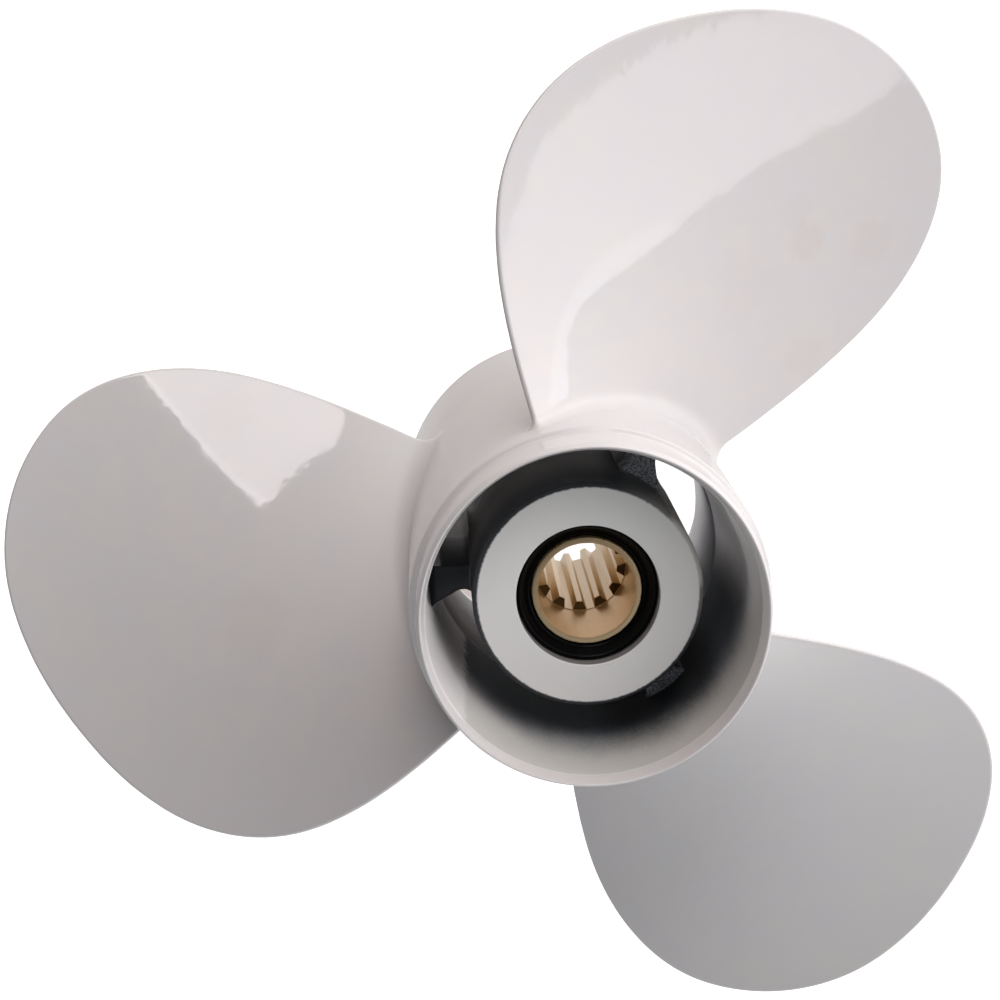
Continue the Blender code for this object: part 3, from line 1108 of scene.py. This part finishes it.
def painted_casting():
    """White gloss outside, dark primer inside with white drifting in over the lip."""
    paint = Finish("white_gloss_paint")
    below_lip = 1 - paint.radius.rise(LIP_FOOT_RADIUS + 0.05, LIP_FOOT_RADIUS + 0.45)
    inside = below_lip * paint.z.rise(RECESS_DEPTH - 0.4, RECESS_DEPTH + 1.6)
    sprayed = overspray(paint)
    long_wave = LONG_WAVE_HEIGHT * paint.noise(LONG_WAVE, detail=1.0)
    short_wave = SHORT_WAVE_HEIGHT * paint.noise(SHORT_WAVE, detail=1.0)
    grain = WALL_GRAIN_HEIGHT * paint.noise(WALL_GRAIN, detail=2.0)
    rough = PRIMER_ROUGHNESS - WHITE_ROUGHNESS
    smoothed = PRIMER_ROUGHNESS - SPRAYED_ROUGHNESS
    return paint.shade(
        Base_Color=paint.mix(inside, outer_white(paint), inner_wall(paint, sprayed)),
        Roughness=WHITE_ROUGHNESS + inside * (rough - smoothed * sprayed),
        IOR=PAINT_IOR,
        Normal=paint.bump(long_wave + short_wave + inside * grain),
    )


casting.data.materials.append(painted_casting())
print("painted the casting")

# %% [markdown]
# ## Primer, cut metal, rubber and brass
#
# The inner casting keeps its sand skin under dark primer, speckled on the ends of the ribs, and
# the hub's aft face is bare cut metal. Rubber is black with a soft sheen. The sleeve is brass,
# brighter where the broach cut its teeth.

# %% Other finishes
HUB_PRIMER = (0.26, 0.25, 0.25)
RIB_PRIMER = (0.62, 0.66, 0.75)
CUT_METAL = (0.86, 0.845, 0.83)
HUB_CUT_RADIUS = 25.6
DARK_RIB = 181.6
CRACK_HEIGHT = 65.5

RUBBER_DARK = (0.0010, 0.0010, 0.0012)
RUBBER_PALE = (0.0025, 0.0025, 0.0028)
TOOTH_BRASS = (0.93, 0.76, 0.53)
BORE_BRASS = (0.98, 0.72, 0.42)
RIM_BRASS = (0.64, 0.47, 0.28)
TARNISH = (0.12, 0.08, 0.03)

# For each light streak on a rib's flank near the barrel, partly overspray and partly a painted
# highlight: the angle of its middle in degrees.
FLANK_SMEARS_AND_HIGHLIGHTS = (76.0, 172.0)


def core_color(skin, speckle):
    """Primer, darkest between the ribs, speckled on their aft faces and light below the seam, with
    painted light and shade: whitened towards the right-hand gap, a sheen in the bore, highlights
    on two flanks, one rib's end shaded.
    """
    # Painted sheen: the hub's bore wall keeps the lighter hub primer, while the hub's side turns
    # darker near its aft end.
    outside_bore = skin.radius.rise(HUB_BORE_RADIUS + 0.2, HUB_BORE_RADIUS + 1.2)
    aft = skin.z.rise(82.0, 101.0) * outside_bore
    on_hub = (1 - skin.radius.rise(HUB_RADIUS, HUB_RADIUS + 0.4)) * (1 - aft)
    rib_ends = skin.z.rise(DEEP_RIB_AFT - 1.0, DEEP_RIB_AFT - 0.7)
    on_rib = skin.radius.rise(HUB_RADIUS, HUB_RADIUS + 0.6) * rib_ends
    # Painted shade: the rib at this angle gets almost none of the pale speckle on its aft face.
    shaded = 1 - skin.facing(DARK_RIB).rise(0.8, 0.95)
    color = skin.mix(on_hub, DARK_PRIMER, HUB_PRIMER)
    color = skin.mix(on_rib * (0.2 + 0.9 * speckle) * shaded, color, RIB_PRIMER)
    # Partly overspray, partly painted light: hub and ribs are whitened on the side facing the
    # right-hand gap, over a wider angle near the aft end.
    misted_and_lit = skin.facing(LIT_SIDE).rise(0.90, 0.97)
    shoulder = skin.facing(LIT_SIDE).rise(0.6, 0.95) * skin.z.rise(90.0, 104.0)
    color = skin.mix((0.85 * misted_and_lit).math("MAXIMUM", 0.3 * shoulder), color, OVERSPRAY)
    for degrees in FLANK_SMEARS_AND_HIGHLIGHTS:
        # Painted highlight, partly overspray: a pale streak down the flank near the barrel.
        smear_and_highlight = skin.facing(degrees).rise(0.975, 0.985) * skin.radius.rise(33.9, 34.6)
        flank = 1 - skin.z.rise(RIB_AFT - 0.6, RIB_AFT - 0.3)
        color = skin.mix(smear_and_highlight * flank, color, OVERSPRAY)
    wander = skin.z + 2.5 * (skin.noise(6.0, detail=3.0) - 0.5)
    crack = wander.band(CRACK_HEIGHT, 0.5, 0.4) * skin.facing(CRACK_SIDE).rise(0.75, 0.85)
    color = skin.mix(below_seam(skin), color, deep_color(skin))
    return skin.mix(crack, color, SEAM_LINE)


def sand_casting():
    """Dark primer on a sand skin, with the hub's aft face cut bright."""
    skin = Finish("primed_sand_casting")
    grain = skin.noise(0.9, detail=3.0, roughness=0.6)
    speckle = skin.noise(0.45, detail=2.0).rise(0.3, 0.7)
    ragged = skin.radius + 0.5 * (grain - 0.5)
    within = 1 - ragged.rise(HUB_CUT_RADIUS, HUB_CUT_RADIUS + 0.5)
    cut = skin.z.rise(HUB_AFT - 0.3, HUB_AFT - 0.1) * within
    brushed = skin.mix(skin.noise(5.0, detail=3.0) * 0.15, CUT_METAL, BARE_WALL)
    return skin.shade(
        Base_Color=skin.mix(cut, core_color(skin, speckle), brushed),
        Metallic=0.1 * cut,
        Roughness=0.45,
        Normal=skin.bump(grain * (0.12 - 0.11 * cut)),
    )


def black_rubber():
    """Black rubber with a faint moulded grain."""
    rubber = Finish("black_rubber_skin")
    grain = rubber.noise(0.8, detail=2.0)
    return rubber.shade(
        Base_Color=rubber.mix(grain, RUBBER_DARK, RUBBER_PALE),
        Roughness=0.25,
        Specular_IOR_Level=0.12,
        Normal=rubber.bump(grain * 0.02),
    )


def brass():
    """Brass: bright broached teeth, a tan counterbore, a golden rim and dark tooth ends."""
    metal = Finish("cut_brass")
    streaks = metal.noise(1.2, detail=3.0)
    fine = metal.noise(0.35, detail=2.0)
    bore = metal.z.rise(BORE_FLOOR - 0.4, BORE_FLOOR + 0.4)
    color = metal.mix(bore, TOOTH_BRASS, metal.mix(0.4 * streaks, BORE_BRASS, RIM_BRASS))
    color = metal.mix(metal.z.rise(SLEEVE_AFT - 0.3, SLEEVE_AFT - 0.1), color, RIM_BRASS)
    inside_bore = 1 - metal.radius.rise(BORE_RADIUS - 0.2, BORE_RADIUS - 0.1)
    ends = metal.z.band(BORE_FLOOR - 0.05, 0.15, 0.15) * inside_bore
    worn = metal.radius.rise(SLEEVE_RADIUS - 0.6, SLEEVE_RADIUS) * fine.rise(0.5, 0.6)
    return metal.shade(
        Base_Color=metal.mix(ends.math("MAXIMUM", 0.6 * worn), color, TARNISH),
        Metallic=0.75 - 0.2 * bore,
        Roughness=0.30,
        Normal=metal.bump(streaks * 0.02),
    )


core.data.materials.append(sand_casting())
bush.data.materials.append(black_rubber())
sleeve.data.materials.append(brass())
print("finished the core, bush and sleeve")

# %% [markdown]
# ## What each piece stands for
#
# Nothing on this object moves against the rest, so every piece rides on the one body. Each
# piece also says which solids it replaces and which finish of the record it takes.

# %% Hand the pieces over
PIECES = (
    (casting, "white_paint", ("outer_barrel", "blade_1", "blade_2", "blade_3")),
    (core, "primed_casting", ("inner_hub", "rib_1", "rib_2", "rib_3")),
    (bush, "black_rubber", ("rubber_bush",)),
    (sleeve, "brass", ("splined_sleeve",)),
)

for piece, slot, nodes in PIECES:
    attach(piece, "root")
    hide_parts(*nodes)
